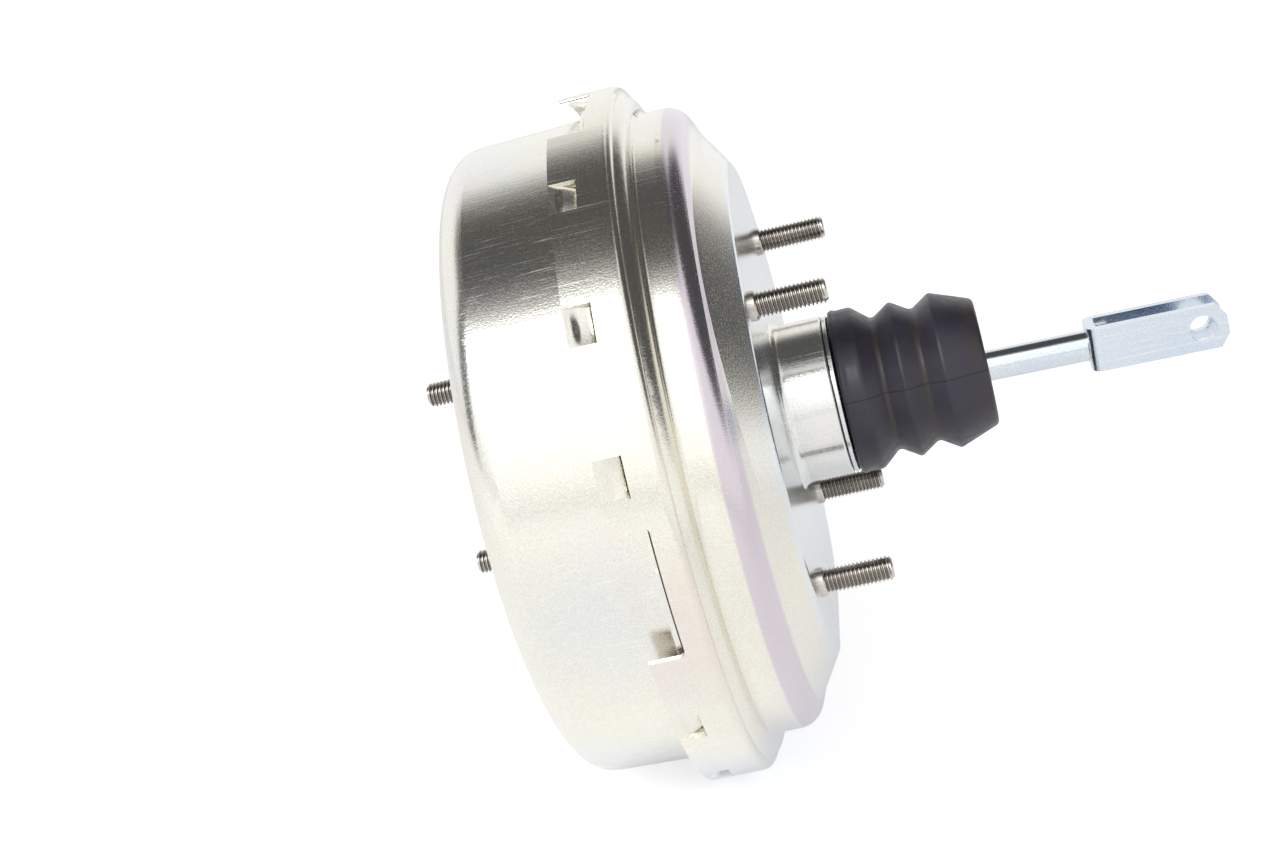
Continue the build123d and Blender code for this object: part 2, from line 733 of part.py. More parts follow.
# Poppet: rubber ring that closes first the vacuum seat, then leaves the air seat
with BuildPart() as poppet_valve:
    with BuildSketch():
        with BuildLine():
            Polyline(
                (poppet_front, POPPET_BORE_R),
                (poppet_front, neck_bore_r - SOFT_GAP),
                (poppet_front + POPPET_DISC, neck_bore_r - SOFT_GAP),
                (poppet_front + POPPET_DISC, POPPET_SKIRT_R + RUBBER),
                (poppet_rear - POPPET_BEAD - POPPET_LIFT, POPPET_SKIRT_R + RUBBER),
                (poppet_rear - POPPET_BEAD, neck_bore_r - SOFT_GAP),
                (poppet_rear - FIT, neck_bore_r - SOFT_GAP),
                (poppet_rear - FIT, POPPET_SKIRT_R),
                (poppet_front + POPPET_DISC, POPPET_SKIRT_R),
                (poppet_front + POPPET_DISC, POPPET_BORE_R),
                close=True,
            )
        make_face()
    revolve(axis=Axis.X)
finish(poppet_valve.part, "poppet_valve")

with BuildPart() as poppet_retainer:
    with BuildSketch(cross_plane(poppet_rear)):
        Circle(neck_bore_r)
        Circle(RETAINER_BORE_R, mode=Mode.SUBTRACT)
    extrude(amount=RETAINER_SHEET)
finish(poppet_retainer.part, "poppet_retainer")

poppet_spring_front = poppet_front + POPPET_DISC
poppet_spring = coil_spring(POPPET_COIL_R, POPPET_WIRE, poppet_spring_front, poppet_rear, POPPET_TURNS)
finish(poppet_spring, "poppet_spring")

collar_x = PIVOT_X + COLLAR_START * cos(radians(DROOP)) - COLLAR_R * sin(radians(DROOP))
valve_spring_end = collar_x - RUNNING
valve_spring = coil_spring(VALVE_COIL_R, VALVE_WIRE, retainer_rear, valve_spring_end, VALVE_TURNS)
finish(valve_spring, "valve_return_spring")


# Reaction disc and output rod: pass the piston's push on to the master cylinder
with BuildPart() as reaction_disc:
    with BuildSketch(cross_plane(disc_front)):
        Circle(DISC_R)
    extrude(amount=DISC_LENGTH)
finish(reaction_disc.part, "reaction_disc")

with BuildPart() as output_rod:
    with BuildSketch():
        with BuildLine():
            Polyline(
                (disc_front, 0),
                (disc_front, DISC_R),
                (disc_front - OUTPUT_HEAD, DISC_R),
                (disc_front - 2 * OUTPUT_HEAD, OUTPUT_R),
                (OUTPUT_TIP + OUTPUT_R, OUTPUT_R),
            )
            RadiusArc((OUTPUT_TIP + OUTPUT_R, OUTPUT_R), (OUTPUT_TIP, 0), -OUTPUT_R)
            Line((OUTPUT_TIP, 0), (disc_front, 0))
        make_face()
    revolve(axis=Axis.X)
finish(output_rod.part, "output_rod")

return_spring = coil_spring(RETURN_COIL_R, RETURN_WIRE, pad_inside, plate_front, RETURN_TURNS)
finish(return_spring, "return_spring")


# Seal and guide ring between the hub tube and the neck
with BuildPart() as hub_seal:
    with BuildSketch():
        with Locations((SEAL_FRONT, NECK_R + RUNNING)):
            seal_height = hub_bore_r - NECK_R - RUNNING
            Rectangle(SEAL_LENGTH, seal_height, align=(Align.MIN, Align.MIN))
        with Locations((SEAL_FRONT - SEAL_LIP, NECK_R + SEAL_LIP)):
            cavity = seal_height - 2 * SEAL_LIP
            Rectangle(SEAL_LENGTH, cavity, align=(Align.MIN, Align.MIN), mode=Mode.SUBTRACT)
    revolve(axis=Axis.X)
finish(hub_seal.part, "hub_seal")

with BuildPart() as guide_ring:
    with BuildSketch(cross_plane(SEAL_FRONT + SEAL_LENGTH)):
        Circle(hub_bore_r)
        Circle(NECK_R + RUNNING, mode=Mode.SUBTRACT)
    extrude(amount=GUIDE_LENGTH)
finish(guide_ring.part, "guide_ring")

# Boot ring: thin steel ring on the tube's end that carries the boot's mouth
with BuildPart() as boot_ring:
    with BuildSketch(cross_plane(HUB_LENGTH + SOFT_GAP)):
        Circle(BOOT_RING_R)
        Circle(NECK_R + 2 * SHEET, mode=Mode.SUBTRACT)
    extrude(amount=BOOT_RING)
    ring_edges = boot_ring.edges().filter_by(GeomType.CIRCLE).group_by(Axis.X)[-1]
    fillet(ring_edges.sort_by(SortBy.RADIUS)[-1], SHEET / 2)
finish(boot_ring.part, "boot_ring")

# Boot: rubber bellows from the hub to the input rod
with BuildPart() as boot:
    half_wall = BOOT_WALL / 2
    fold_radii = [BOOT_VALLEY_R, BOOT_RIDGE_R, BOOT_VALLEY_R, BOOT_RIDGE_R]
    zigzag = [
        (BOOT_FIRST_VALLEY + k * BOOT_HALF_PITCH, radius - half_wall)
        for k, radius in enumerate(fold_radii)
    ]
    with BuildSketch() as section:
        with BuildLine():
            FilletPolyline(
                (BOOT_FRONT, BOOT_MOUTH_R - half_wall),
                (BOOT_COLLAR_END, BOOT_COLLAR_R - half_wall),
                *zigzag,
                (BOOT_END - half_wall, BOOT_END_R - half_wall),
                (BOOT_END - half_wall, ROD_R),
                radius=BOOT_ROUND,
            )
        trace(line_width=BOOT_WALL)
    revolve(axis=Axis.X)
    with BuildSketch(rod_side):
        with Locations((ROD_TO_WEB / 2, 0)):
            Rectangle(ROD_TO_WEB, ROD_R + SOFT_GAP, align=(Align.CENTER, Align.MIN))
    revolve(axis=rod_axis, mode=Mode.SUBTRACT)
finish(boot.part, "boot")

# Filter and silencer: foam rings in the neck that the entering air passes through
with BuildPart() as air_filter:
    with BuildSketch(cross_plane(FILTER_REAR)):
        Circle(neck_bore_r)
        Circle(FILTER_BORE_R, mode=Mode.SUBTRACT)
    extrude(amount=-FILTER_LENGTH)
finish(air_filter.part, "air_filter")

with BuildPart() as silencer:
    with BuildSketch(cross_plane(FILTER_REAR)):
        Circle(neck_bore_r)
        Circle(FILTER_BORE_R, mode=Mode.SUBTRACT)
    extrude(amount=SILENCER_LENGTH)
finish(silencer.part, "silencer")


# Input rod: ball end in the plunger, a collar for the return spring, a riveted tail in the clevis
with BuildPart() as input_rod:
    with BuildSketch(rod_side):
        with BuildLine():
            Polyline(
                (0, 0),
                (0, ROD_WAIST_R),
                (ROD_WAIST, ROD_WAIST_R),
                (ROD_WAIST + ROD_SHANK_R - ROD_WAIST_R, ROD_SHANK_R),
                (COLLAR_START, ROD_SHANK_R),
                (COLLAR_START, COLLAR_R),
                (COLLAR_START + COLLAR, COLLAR_R),
                (COLLAR_START + COLLAR, ROD_R),
                (ROD_TO_WEB, ROD_R),
                (ROD_TO_WEB, TAIL_R),
                (web_inside, TAIL_R),
                (web_inside, RIVET_R),
                (web_inside + RIVET_LENGTH - RIVET_R / 2, RIVET_R),
                (web_inside + RIVET_LENGTH, RIVET_R / 2),
                (web_inside + RIVET_LENGTH, 0),
                close=True,
            )
        make_face()
    revolve(axis=rod_axis)
    with Locations((PIVOT_X, 0, 0)):
        Sphere(BALL_R)
finish(input_rod.part, "input_rod")

# Clevis: one strip of steel folded round the rod's tail, its ears clipped at the corners
with BuildPart() as clevis:
    with BuildSketch(rod_top) as fold:
        with Locations((ROD_TO_WEB, 0)):
            Rectangle(CLEVIS_LENGTH, CLEVIS_WIDTH, align=(Align.MIN, Align.CENTER))
        fillet(fold.vertices().group_by(Axis.X)[0], CLEVIS_BEND)
    extrude(amount=CLEVIS_HEIGHT / 2, both=True)
    with BuildSketch(rod_top) as gap:
        with Locations((web_inside, 0)):
            gap_width = CLEVIS_WIDTH - 2 * CLEVIS_SHEET
            Rectangle(CLEVIS_LENGTH, gap_width, align=(Align.MIN, Align.CENTER))
        fillet(gap.vertices().group_by(Axis.X)[0], CLEVIS_BEND - CLEVIS_SHEET)
    extrude(amount=CLEVIS_HEIGHT, both=True, mode=Mode.SUBTRACT)
    with BuildSketch(rod_side):
        for side in (1, -1):
            with BuildLine():
                Polyline(
                    (clevis_end, side * CLEVIS_HEIGHT / 2),
                    (clevis_end - EAR_CLIP, side * CLEVIS_HEIGHT / 2),
                    (clevis_end, side * (CLEVIS_HEIGHT / 2 - EAR_CLIP_HEIGHT)),
                    close=True,
                )
            make_face()
        with Locations((pin_hole_s, 0)):
            Circle(PIN_HOLE_R)
    extrude(amount=CLEVIS_WIDTH, both=True, mode=Mode.SUBTRACT)
    with BuildSketch(rod_side):
        with Locations((ROD_TO_WEB, 0)):
            Rectangle(CLEVIS_SHEET, TAIL_R, align=(Align.MIN, Align.MIN))
    revolve(axis=rod_axis, mode=Mode.SUBTRACT)
finish(clevis.part, "clevis")


# Vacuum check valve: a two-part moulded body in a rubber grommet on the front shell
check_seat_face = FRONT_FACE - GROMMET_LIP - FIT
check_floor = check_seat_face - CHECK_FLOOR
disc_face = check_floor - FIT
check_joint = disc_face - CHECK_DISC - CHECK_LIFT - CHECK_WIRE
check_roof = check_joint - CHECK_CAP + CHECK_WALL / 2
cap_top = check_joint - CHECK_CAP
nipple_x = cap_top - ELBOW_R
nipple_end = check_y + NIPPLE_LENGTH

with BuildPart() as vacuum_grommet:
    with BuildSketch(check_plane):
        with BuildLine():
            Polyline(
                (FRONT_FACE - GROMMET_LIP, CHECK_STEM_R + FIT),
                (FRONT_FACE - GROMMET_LIP, GROMMET_R - FIT),
                (FRONT_FACE, GROMMET_R),
                (FRONT_FACE, GROMMET_NECK_R),
                (front_inside, GROMMET_NECK_R),
                (front_inside, GROMMET_R - GROMMET_LIP / 2),
                (front_inside + GROMMET_LIP, GROMMET_NECK_R),
                (front_inside + GROMMET_LIP, CHECK_STEM_R + FIT),
                close=True,
            )
        make_face()
    revolve(axis=check_axis)
finish(vacuum_grommet.part, "vacuum_grommet")

with BuildPart() as check_valve_body:
    with BuildSketch(check_plane):
        with BuildLine():
            Polyline(
                (CHECK_STEM_END, CHECK_PASSAGE_R),
                (CHECK_STEM_END, CHECK_STEM_R),
                (check_seat_face, CHECK_STEM_R),
                (check_seat_face, CHECK_R),
                (check_joint, CHECK_R),
                (check_joint, CHECK_R - CHECK_WALL),
                (check_floor, CHECK_R - CHECK_WALL),
                (check_floor, CHECK_PASSAGE_R),
                close=True,
            )
        make_face()
    revolve(axis=check_axis)
finish(check_valve_body.part, "check_valve_body")

with BuildPart() as check_valve_cap:
    with BuildSketch(check_plane):
        with BuildLine():
            Polyline(
                (check_joint, 0),
                (check_joint, CHECK_R),
                (cap_top + CHECK_WALL / 2, CHECK_R),
                (cap_top, CHECK_R - CHECK_WALL / 2),
                (cap_top, ELBOW_R),
                (cap_top - ELBOW_RISE + ELBOW_R / 2, ELBOW_R),
                (cap_top - ELBOW_RISE, ELBOW_R / 2),
                (cap_top - ELBOW_RISE, 0),
                close=True,
            )
        make_face()
    revolve(axis=check_axis)
    with BuildSketch():
        with BuildLine():
            Polyline(
                (nipple_x, check_y),
                (nipple_x + ELBOW_R - FIT, check_y),
                (nipple_x + ELBOW_R - FIT, check_y + HOSE_STOP),
                (nipple_x + NIPPLE_R, check_y + HOSE_STOP),
                (nipple_x + NIPPLE_R, nipple_end - NIPPLE_CHAMFER),
                (nipple_x + NIPPLE_R - NIPPLE_CHAMFER, nipple_end),
                (nipple_x, nipple_end),
                close=True,
            )
        make_face()
    revolve(axis=Axis((nipple_x, 0, 0), (0, 1, 0)))
    with BuildSketch(Plane.XZ.offset(-check_y)):
        with Locations((nipple_x, 0)):
            Circle(NIPPLE_BORE_R)
    extrude(amount=-NIPPLE_LENGTH, mode=Mode.SUBTRACT)
    with BuildSketch(check_plane):
        with Locations((check_joint, 0)):
            room = check_joint - check_roof
            Rectangle(room, CHECK_R - CHECK_WALL, align=(Align.MAX, Align.MIN))
        with Locations((check_joint, 0)):
            Rectangle(check_joint - nipple_x, NIPPLE_BORE_R, align=(Align.MAX, Align.MIN))
    revolve(axis=check_axis, mode=Mode.SUBTRACT)
finish(check_valve_cap.part, "check_valve_cap")

with BuildPart() as check_valve_disc:
    with BuildSketch(check_plane):
        with Locations((disc_face, 0)):
            Rectangle(CHECK_DISC, CHECK_DISC_R, align=(Align.MAX, Align.MIN))
    revolve(axis=check_axis)
finish(check_valve_disc.part, "check_valve_disc")

check_spring = coil_spring(
    CHECK_COIL_R, CHECK_WIRE, check_roof, disc_face - CHECK_DISC, CHECK_TURNS, y=check_y
)
finish(check_spring, "check_valve_spring")
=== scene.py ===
import json
import bmesh
import bpy
from math import cos, pi, radians, sin
from mathutils import Matrix, Vector

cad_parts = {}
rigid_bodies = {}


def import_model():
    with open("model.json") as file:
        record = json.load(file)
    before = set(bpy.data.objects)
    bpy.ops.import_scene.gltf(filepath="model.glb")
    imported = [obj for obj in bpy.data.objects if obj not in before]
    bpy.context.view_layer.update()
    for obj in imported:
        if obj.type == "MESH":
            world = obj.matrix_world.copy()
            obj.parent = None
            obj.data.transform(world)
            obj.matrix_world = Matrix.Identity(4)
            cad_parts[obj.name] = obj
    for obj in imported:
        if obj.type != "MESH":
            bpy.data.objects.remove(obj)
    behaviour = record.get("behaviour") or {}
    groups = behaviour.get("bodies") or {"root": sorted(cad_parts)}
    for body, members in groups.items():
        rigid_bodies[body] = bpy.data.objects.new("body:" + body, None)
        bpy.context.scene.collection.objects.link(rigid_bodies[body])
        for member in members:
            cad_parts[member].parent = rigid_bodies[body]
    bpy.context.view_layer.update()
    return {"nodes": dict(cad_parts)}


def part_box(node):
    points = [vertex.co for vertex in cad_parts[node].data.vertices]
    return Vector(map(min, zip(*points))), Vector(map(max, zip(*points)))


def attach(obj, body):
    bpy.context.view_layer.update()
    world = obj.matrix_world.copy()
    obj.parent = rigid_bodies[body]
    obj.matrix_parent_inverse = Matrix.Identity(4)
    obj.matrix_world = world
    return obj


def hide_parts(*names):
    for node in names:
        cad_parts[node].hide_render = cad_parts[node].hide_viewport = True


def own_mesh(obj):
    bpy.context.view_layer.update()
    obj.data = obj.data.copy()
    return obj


for spare in list(bpy.context.scene.objects):
    bpy.data.objects.remove(spare)
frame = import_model()

# Front shell
# Deep-drawn drum of 1.6 mm steel, zinc plated and passivated, which leaves a pale film with
# cream, cool and pink patches over a fine grain. Drawing marks run along the drum, and a
# painted shade makes its underside greyer and cooler.

FILM_CLOUDS = 11.0
FILM_PATCHES = 23.0
FILM_MOTTLE = 170.0
FILM_GRAIN = 1900.0
DRAWN_LINES = (16.0, 1900.0, 1900.0)
DRAWN_AREAS = 26.0
PLATE_RELIEF = 0.6
SCORE_COLOUR = (0.93, 0.93, 0.92, 1)
SCORE_ROUGHNESS = 0.28


def put(tree, kind, sockets=None, **settings):
    """Add one shader node, set it up, and wire or fill its sockets."""
    made = tree.nodes.new(kind)
    for name, value in settings.items():
        setattr(made, name, value)
    for name, value in (sockets or {}).items():
        if isinstance(value, bpy.types.NodeSocket):
            tree.links.new(value, made.inputs[name])
        else:
            made.inputs[name].default_value = value
    return made


def math_of(tree, operation, first, second, third=None):
    """One arithmetic step between sockets or numbers."""
    sockets = {0: first, 1: second}
    if third is not None:
        sockets[2] = third
    return put(tree, "ShaderNodeMath", sockets, operation=operation).outputs[0]


def blend_of(tree, share, first, second, way="MIX"):
    """One colour mixed from two."""
    made = put(tree, "ShaderNodeMix", data_type="RGBA", blend_type=way)
    for socket, value in ((0, share), (6, first), (7, second)):
        if isinstance(value, bpy.types.NodeSocket):
            tree.links.new(value, made.inputs[socket])
        else:
            made.inputs[socket].default_value = value
    return made.outputs[2]


def ramp_between(tree, value, low, high, to_low=0.0, to_high=1.0):
    """A value spread smoothly from low..high onto to_low..to_high."""
    made = put(
        tree,
        "ShaderNodeMapRange",
        {"Value": value, "From Min": low, "From Max": high, "To Min": to_low, "To Max": to_high},
        interpolation_type="SMOOTHSTEP",
    )
    return made.outputs["Result"]


def noise(tree, place, scale, detail=2.0, distortion=0.0):
    """Soft noise with its scale in cells per metre."""
    made = put(
        tree,
        "ShaderNodeTexNoise",
        {"Vector": place, "Scale": scale, "Detail": detail, "Distortion": distortion},
    )
    return made.outputs["Fac"]


def new_group(name, inputs, outputs):
    """An empty node group with its sockets."""
    group = bpy.data.node_groups.new(name, "ShaderNodeTree")
    for socket, kind in inputs:
        group.interface.new_socket(socket, in_out="INPUT", socket_type=kind)
    for socket, kind in outputs:
        group.interface.new_socket(socket, in_out="OUTPUT", socket_type=kind)
    return group, group.nodes.new("NodeGroupInput"), group.nodes.new("NodeGroupOutput")


film, film_in, film_out = new_group(
    "zinc_film",
    [("Place", "NodeSocketVector"), ("Warm", "NodeSocketColor"), ("Cool", "NodeSocketColor"),
     ("Blush", "NodeSocketColor")],
    [("Colour", "NodeSocketColor"), ("Roughness", "NodeSocketFloat"), ("Height", "NodeSocketFloat")],
)
place = film_in.outputs["Place"]
clouds = noise(film, place, FILM_CLOUDS, 3.0)
patches = noise(film, place, FILM_PATCHES, 4.0, 0.6)
mottle = noise(film, place, FILM_MOTTLE, 5.0)
grain = noise(film, place, FILM_GRAIN, 1.0)
tint = blend_of(
    film, ramp_between(film, clouds, 0.38, 0.64), film_in.outputs["Warm"], film_in.outputs["Cool"]
)
tint = blend_of(film, ramp_between(film, patches, 0.54, 0.72, 0.0, 0.45), tint, film_in.outputs["Blush"])
shade = ramp_between(film, grain, 0.30, 0.70, 0.92, 1.03)
grey = put(film, "ShaderNodeCombineColor", {"Red": shade, "Green": shade, "Blue": shade})
tint = blend_of(film, 1.0, tint, grey.outputs["Color"], "MULTIPLY")
film.links.new(tint, film_out.inputs["Colour"])
film.links.new(ramp_between(film, grain, 0.30, 0.70, 0.16, 0.22), film_out.inputs["Roughness"])
film.links.new(math_of(film, "MULTIPLY_ADD", mottle, 0.05, grain), film_out.inputs["Height"])

draw, draw_in, draw_out = new_group(
    "drawing_marks",
    [("Place", "NodeSocketVector")],
    [("Mask", "NodeSocketFloat"), ("Height", "NodeSocketFloat")],
)
place = draw_in.outputs["Place"]
along = put(draw, "ShaderNodeMapping", {"Vector": place, "Scale": DRAWN_LINES}).outputs["Vector"]
lines = noise(draw, along, 1.0, 3.0)
sparse = ramp_between(draw, noise(draw, place, DRAWN_AREAS), 0.42, 0.62)
mask = ramp_between(draw, lines, 0.55, 0.72)
draw.links.new(math_of(draw, "MULTIPLY", mask, sparse), draw_out.inputs["Mask"])
draw.links.new(math_of(draw, "MULTIPLY", lines, sparse), draw_out.inputs["Height"])


def start_material(name):
    """A new material with its tree and its main shader."""
    made = bpy.data.materials.new(name)
    made.use_nodes = True
    return made, made.node_tree, made.node_tree.nodes["Principled BSDF"]


def lift(tree, shader, height, strength, distance):
    """Fine relief from a height, with its depth in metres."""
    bump = put(tree, "ShaderNodeBump", {"Height": height, "Strength": strength, "Distance": distance})
    tree.links.new(bump.outputs["Normal"], shader.inputs["Normal"])


def dress(node, material):
    """Give a carried-over CAD piece its finish."""
    for slot in frame["nodes"][node].material_slots:
        slot.material = material


def plated(name, warm, cool, blush, marks=0.7, relief=0.00005, gloss=1.0):
    """Bright zinc plate with its film, drawing marks and relief, and what later steps tint."""
    made, tree, shader = start_material(name)
    spot = put(tree, "ShaderNodeTexCoord").outputs["Object"]
    skin = put(tree, "ShaderNodeGroup", node_tree=film)
    for socket, value in (("Warm", warm), ("Cool", cool), ("Blush", blush)):
        skin.inputs[socket].default_value = (*value, 1)
    tree.links.new(spot, skin.inputs["Place"])
    scored = put(tree, "ShaderNodeGroup", node_tree=draw)
    tree.links.new(spot, scored.inputs["Place"])
    score = math_of(tree, "MULTIPLY", scored.outputs["Mask"], marks)
    colour = blend_of(tree, score, skin.outputs["Colour"], SCORE_COLOUR)
    rough = math_of(tree, "MULTIPLY", skin.outputs["Roughness"], gloss)
    rough = math_of(tree, "MULTIPLY_ADD", score, SCORE_ROUGHNESS, rough)
    height = math_of(tree, "MULTIPLY_ADD", scored.outputs["Height"], marks, skin.outputs["Height"])
    lift(tree, shader, height, PLATE_RELIEF, relief)
    shader.inputs["Metallic"].default_value = 1.0
    tree.links.new(colour, shader.inputs["Base Color"])
    tree.links.new(rough, shader.inputs["Roughness"])
    return made, tree, shader, colour, spot


def around(tree, spot):
    """Place along the axis, distance from it, and height round it from -1 to 1."""
    split = put(tree, "ShaderNodeSeparateXYZ", {"Vector": spot})
    across = math_of(tree, "MULTIPLY", split.outputs["Y"], split.outputs["Y"])
    radius = math_of(
        tree, "SQRT", math_of(tree, "MULTIPLY_ADD", split.outputs["Z"], split.outputs["Z"], across), 0.0
    )
    return split.outputs["X"], radius, math_of(tree, "DIVIDE", split.outputs["Z"], radius)


front_zinc, tree, shader, colour, spot = plated(
    "front_zinc", warm=(0.88, 0.855, 0.755), cool=(0.83, 0.84, 0.81), blush=(0.87, 0.81, 0.76)
)
_, _, rise = around(tree, spot)
# Painted shade: the drum's underside is blended to a greyer, cooler colour.
underside_shade = ramp_between(tree, rise, -0.95, -0.55, 0.85, 0.0)
colour = blend_of(tree, underside_shade, colour, (0.76, 0.77, 0.78, 1))
tree.links.new(colour, shader.inputs["Base Color"])
dress("front_shell", front_zinc)

# Stud plates, piston plate and retainer
# Plain pressed steel parts inside the casing, oiled and phosphated to a dull dark grey.
# The studs' heads bear on the two thick plates, and the dished plate backs the diaphragm.


def roughen(tree, shader, value, low, high):
    """Roughness that follows a noise between two levels."""
    tree.links.new(ramp_between(tree, value, 0.3, 0.7, low, high), shader.inputs["Roughness"])


dark_steel, tree, shader = start_material("phosphated_steel")
spot = put(tree, "ShaderNodeTexCoord").outputs["Object"]
crystal = noise(tree, spot, 900.0, 4.0)
oil = noise(tree, spot, 35.0, 3.0)
share = ramp_between(tree, oil, 0.35, 0.65)
colour = blend_of(tree, share, (0.17, 0.17, 0.17, 1), (0.25, 0.245, 0.235, 1))
tree.links.new(colour, shader.inputs["Base Color"])
roughen(tree, shader, crystal, 0.42, 0.62)
lift(tree, shader, crystal, 0.5, 0.00003)
shader.inputs["Metallic"].default_value = 0.85
for piece in ("front_stud_plate", "rear_stud_plate", "diaphragm_plate", "poppet_retainer"):
    dress(piece, dark_steel)

# Front studs
# Two M8 x 1.25 steel studs for the master cylinder, cold headed inside the pad. Each has a
# short plain shoulder, a rolled thread with painted shade in its grooves and a chamfered tip.

M8_PITCH = 0.00125
M8_CREST = 0.00396
M8_ROOT = 0.00326
SHOULDER_RADIUS = 0.0046
HEAD_RADIUS = 0.007
HEAD_THICKNESS = 0.003
HEAD_CHAMFER = 0.0006
SHOULDER_CHAMFER = 0.0004
TIP_RADIUS = 0.0030
TIP_BARE = 0.0009
THREAD_STEPS = 40
SHANK_STEPS = 48
FRONT_SHOULDER_END = -0.0922
FRONT_STUD_Z = 0.030

stud_steel, tree, shader = start_material("stud_steel")
spot = put(tree, "ShaderNodeTexCoord").outputs["Object"]
fleck = noise(tree, spot, 1300.0, 4.0)
dull = noise(tree, spot, 160.0, 3.0)
share = ramp_between(tree, dull, 0.35, 0.65)
colour = blend_of(tree, share, (0.72, 0.67, 0.61, 1), (0.57, 0.53, 0.49, 1))
# Painted shade: the thread roots are blended towards dark brown by their depth.
thread_root_shade = put(tree, "ShaderNodeAttribute", attribute_name="thread_root_shade").outputs["Fac"]
colour = blend_of(tree, math_of(tree, "MULTIPLY", thread_root_shade, 0.8), colour, (0.13, 0.115, 0.10, 1))
tree.links.new(colour, shader.inputs["Base Color"])
roughen(tree, shader, fleck, 0.20, 0.36)
lift(tree, shader, fleck, 0.5, 0.00002)
shader.inputs["Metallic"].default_value = 1.0


def threaded_studs(name, head, shoulder, tip, places, body):
    """Headed studs along X with a real helical thread from the shoulder to a chamfered tip."""
    way = 1 if tip > head else -1
    seat = head + way * HEAD_THICKNESS
    overlap = shoulder - way * SHOULDER_CHAMFER
    whole = bmesh.new()
    for y, z in places:
        thread = bmesh.new()
        start = shoulder - way * M8_PITCH
        turns = int(abs(tip - start) / M8_PITCH) + 2
        path = [(0.0, M8_ROOT), (0.30, M8_ROOT), (0.58, M8_CREST), (0.72, M8_CREST), (1.0, M8_ROOT)]
        profile = [thread.verts.new((start + way * share * M8_PITCH, 0, r)) for share, r in path]
        edges = [thread.edges.new(pair) for pair in zip(profile, profile[1:])]
        bmesh.ops.spin(
            thread, geom=profile + edges, cent=(0, 0, 0), axis=(1, 0, 0), angle=2 * pi * turns,
            steps=THREAD_STEPS * turns, dvec=(way * M8_PITCH / THREAD_STEPS, 0, 0),
        )
        bmesh.ops.remove_doubles(thread, verts=thread.verts, dist=1e-6)
        for cut, side in ((tip, way), (overlap, -way)):
            bmesh.ops.bisect_plane(
                thread, geom=thread.verts[:] + thread.edges[:] + thread.faces[:], dist=1e-7,
                plane_co=(cut, 0, 0), plane_no=(side, 0, 0), clear_outer=True,
            )
        for v in thread.verts:
            limit = TIP_RADIUS + abs(tip - v.co.x)
            r = (v.co.y ** 2 + v.co.z ** 2) ** 0.5
            if r > limit:
                v.co.y *= limit / r
                v.co.z *= limit / r
        bmesh.ops.holes_fill(thread, edges=[e for e in thread.edges if e.is_boundary], sides=0)
        shank = bmesh.new()
        outline = [
            (head, 0), (head, HEAD_RADIUS - HEAD_CHAMFER), (head + way * HEAD_CHAMFER, HEAD_RADIUS),
            (seat, HEAD_RADIUS), (seat, SHOULDER_RADIUS), (overlap, SHOULDER_RADIUS),
            (shoulder, SHOULDER_RADIUS - SHOULDER_CHAMFER), (shoulder, 0),
        ]
        points = [shank.verts.new((x, 0, r)) for x, r in outline]
        edges = [shank.edges.new(pair) for pair in zip(points, points[1:])]
        bmesh.ops.spin(
            shank, geom=points + edges, cent=(0, 0, 0), axis=(1, 0, 0), angle=2 * pi,
            steps=SHANK_STEPS, use_merge=True,
        )
        bmesh.ops.remove_doubles(shank, verts=shank.verts, dist=1e-7)
        for part in (thread, shank):
            bmesh.ops.recalc_face_normals(part, faces=part.faces)
            bmesh.ops.translate(part, verts=part.verts, vec=(0, y, z))
            made = bpy.data.meshes.new("part")
            part.to_mesh(made)
            part.free()
            whole.from_mesh(made)
            bpy.data.meshes.remove(made)
    mesh = bpy.data.meshes.new(name)
    whole.to_mesh(mesh)
    whole.free()
    mesh.shade_smooth()
    mesh.set_sharp_from_angle(angle=radians(24))
    mesh.materials.append(stud_steel)
    # Painted shade mask: how deep each point lies between the thread's crest and root.
    thread_root_shade = mesh.attributes.new("thread_root_shade", "FLOAT", "POINT")
    for v, depth in zip(mesh.vertices, thread_root_shade.data):
        reach = min(((v.co.y - y) ** 2 + (v.co.z - z) ** 2) ** 0.5 for y, z in places)
        if abs(tip - v.co.x) > TIP_BARE and reach > TIP_RADIUS:
            depth.value = (M8_CREST - min(reach, M8_CREST)) / (M8_CREST - M8_ROOT)
    piece = bpy.data.objects.new(name, mesh)
    bpy.context.scene.collection.objects.link(piece)
    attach(piece, body)
    return piece


low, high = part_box("front_studs")
studs = threaded_studs(
    "front_studs_threaded", head=high.x, shoulder=FRONT_SHOULDER_END, tip=low.x,
    places=[(0, -FRONT_STUD_Z), (0, FRONT_STUD_Z)], body="casing",
)
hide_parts("front_studs")

# Vacuum check valve and its grommet
# Two-part moulding of black glass-filled nylon, pressed into a soft rubber grommet in the shell.
# A small rubber disc inside it closes when the engine's vacuum drops.

black_nylon, tree, shader = start_material("black_nylon")
spot = put(tree, "ShaderNodeTexCoord").outputs["Object"]
spark = noise(tree, spot, 1500.0, 3.0)
flow = noise(tree, spot, 60.0, distortion=1.2)
share = ramp_between(tree, flow, 0.4, 0.7)
colour = blend_of(tree, share, (0.020, 0.020, 0.022, 1), (0.034, 0.034, 0.036, 1))
tree.links.new(colour, shader.inputs["Base Color"])
roughen(tree, shader, spark, 0.38, 0.52)
lift(tree, shader, spark, 0.5, 0.00003)
for piece in ("check_valve_body", "check_valve_cap"):
    dress(piece, black_nylon)

